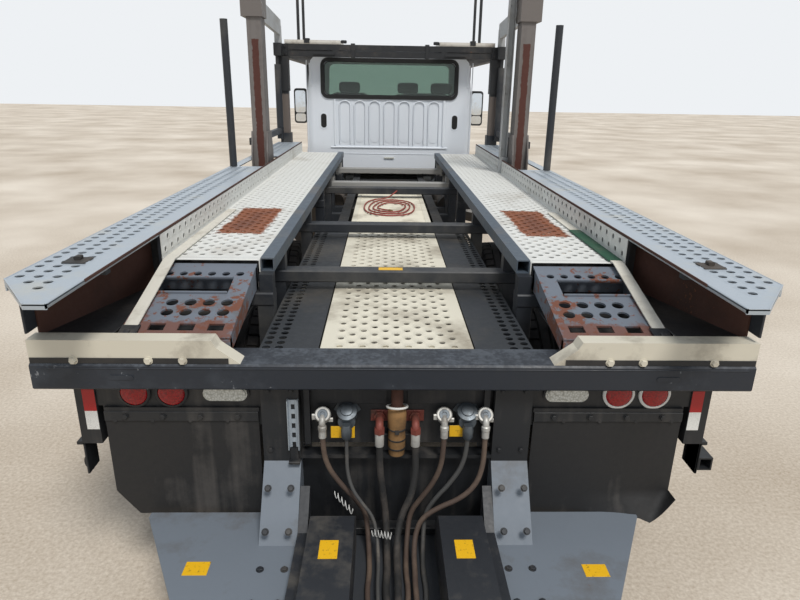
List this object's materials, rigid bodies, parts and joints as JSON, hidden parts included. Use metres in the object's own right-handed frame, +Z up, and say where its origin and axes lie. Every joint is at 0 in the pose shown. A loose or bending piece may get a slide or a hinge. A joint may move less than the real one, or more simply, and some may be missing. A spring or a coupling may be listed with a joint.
{
  "type": "car transporter truck",
  "caption": "Car transporter truck with a white conventional cab, head rack over the cab, open loading deck with runways, and a low hitch frame at the tail.",
  "frame": {"origin": "centre of the bounding box at ground level", "axes": "+Z up, front towards -Y, driver's side +X"},
  "size_m": [2.59, 9.6, 3.53],
  "materials": {
    "chassis_paint": "satin black chassis paint, dusty",
    "dark_paint": "dark blue-black paint, worn",
    "white_paint": "white cab paint, gloss",
    "grey_paint": "light grey paint, worn",
    "cream_paint": "cream deck paint, worn and stained",
    "galvanised": "galvanised tread plate",
    "aluminium": "brushed tank aluminium",
    "chrome": "bright grille",
    "cast_iron": "bare castings and fittings",
    "glass": "green-tinted glass",
    "red_lens": "red and clear lenses",
    "rubber": "black flap rubber",
    "tyre": "dusty tyre rubber",
    "fabric": "dark seat cloth",
    "webbing": "dirty grey-white strap webbing",
    "matte_plastic": "black grained plastic"
  },
  "bodies": {
    "chassis": {"frame": "chassis_paint", "front_bumper": "chassis_paint", "front_posts": "chassis_paint", "front_axle": "chassis_paint", "drive_line": "chassis_paint", "suspension": "chassis_paint", "engine": "cast_iron", "cab": "white_paint", "cab_glass": "glass", "seats": "fabric", "controls": "matte_plastic", "fuel_tanks": "aluminium", "side_tanks": "grey_paint", "deck_frame": "chassis_paint", "walkways": "galvanised", "runways": "cream_paint", "rear_ramps": "grey_paint", "centre_deck": "cream_paint", "rear_beam": "dark_paint", "load_plates": "cream_paint", "rear_wall": "dark_paint", "tail_lamps": "red_lens", "mud_flaps": "rubber", "hitch_frame": "grey_paint", "hitch_covers": "chassis_paint", "couplings": "cast_iron", "side_poles": "dark_paint", "tall_posts": "grey_paint", "rack_guides": "dark_paint", "tie_straps": "webbing", "hose_air_left": "rubber", "hose_oil": "rubber", "hose_air_right": "rubber", "cable_power": "rubber"},
    "hood": {"hood": "white_paint", "grille": "chrome", "head_lamps": "glass"},
    "head_rack": {"rack_frame": "dark_paint", "rack_runways": "cream_paint", "rack_beams": "grey_paint"},
    "door_left": {"door_left": "white_paint", "door_glass_left": "glass", "mirror_left": "matte_plastic"},
    "knuckle_left": {"knuckle_left": "cast_iron"},
    "front_wheel_left": {"front_tyre_left": "tyre", "front_rim_left": "white_paint"},
    "drive_wheel_front_left": {"drive_tyres_front_left": "tyre", "drive_rims_front_left": "white_paint"},
    "drive_wheel_rear_left": {"drive_tyres_rear_left": "tyre", "drive_rims_rear_left": "white_paint"},
    "door_right": {"door_right": "white_paint", "door_glass_right": "glass", "mirror_right": "matte_plastic"},
    "knuckle_right": {"knuckle_right": "cast_iron"},
    "front_wheel_right": {"front_tyre_right": "tyre", "front_rim_right": "white_paint"},
    "drive_wheel_front_right": {"drive_tyres_front_right": "tyre", "drive_rims_front_right": "white_paint"},
    "drive_wheel_rear_right": {"drive_tyres_rear_right": "tyre", "drive_rims_rear_right": "white_paint"}
  },
  "joints": [
    {"name": "rack_lift", "type": "slide", "parent": "chassis", "child": "head_rack", "axis": [0, 0, 1], "range_m": [0, 0.45]},
    {"name": "hood_tilt", "type": "hinge", "parent": "chassis", "child": "hood", "pos_m": [0, -4.64, 0.8], "axis": [1, 0, 0], "range_deg": [0, 70]},
    {"name": "steer_left", "type": "hinge", "parent": "chassis", "child": "knuckle_left", "pos_m": [0.93, -3.85, 0.48], "axis": [0, 0, 1], "range_deg": [-35, 35]},
    {"name": "steer_right", "type": "hinge", "parent": "chassis", "child": "knuckle_right", "pos_m": [-0.93, -3.85, 0.48], "axis": [0, 0, 1], "range_deg": [-35, 35]},
    {"name": "door_left_swing", "type": "hinge", "parent": "chassis", "child": "door_left", "pos_m": [1.004, -3.26, 1.435], "axis": [0, 0, -1], "range_deg": [0, 70]},
    {"name": "door_right_swing", "type": "hinge", "parent": "chassis", "child": "door_right", "pos_m": [-1.004, -3.26, 1.435], "axis": [0, 0, 1], "range_deg": [0, 70]},
    {"name": "front_roll_left", "type": "hinge", "parent": "knuckle_left", "child": "front_wheel_left", "pos_m": [1.03, -3.85, 0.48], "axis": [1, 0, 0], "continuous": true},
    {"name": "drive_roll_front_left", "type": "hinge", "parent": "chassis", "child": "drive_wheel_front_left", "pos_m": [0.921, 1.35, 0.48], "axis": [1, 0, 0], "continuous": true},
    {"name": "drive_roll_rear_left", "type": "hinge", "parent": "chassis", "child": "drive_wheel_rear_left", "pos_m": [0.921, 2.65, 0.48], "axis": [1, 0, 0], "continuous": true},
    {"name": "front_roll_right", "type": "hinge", "parent": "knuckle_right", "child": "front_wheel_right", "pos_m": [-1.03, -3.85, 0.48], "axis": [1, 0, 0], "continuous": true},
    {"name": "drive_roll_front_right", "type": "hinge", "parent": "chassis", "child": "drive_wheel_front_right", "pos_m": [-0.921, 1.35, 0.48], "axis": [1, 0, 0], "continuous": true},
    {"name": "drive_roll_rear_right", "type": "hinge", "parent": "chassis", "child": "drive_wheel_rear_right", "pos_m": [-0.921, 2.65, 0.48], "axis": [1, 0, 0], "continuous": true}
  ],
  "couplings": [
    {"joint": "steer_right", "follows": "steer_left", "ratio": 1}
  ]
}
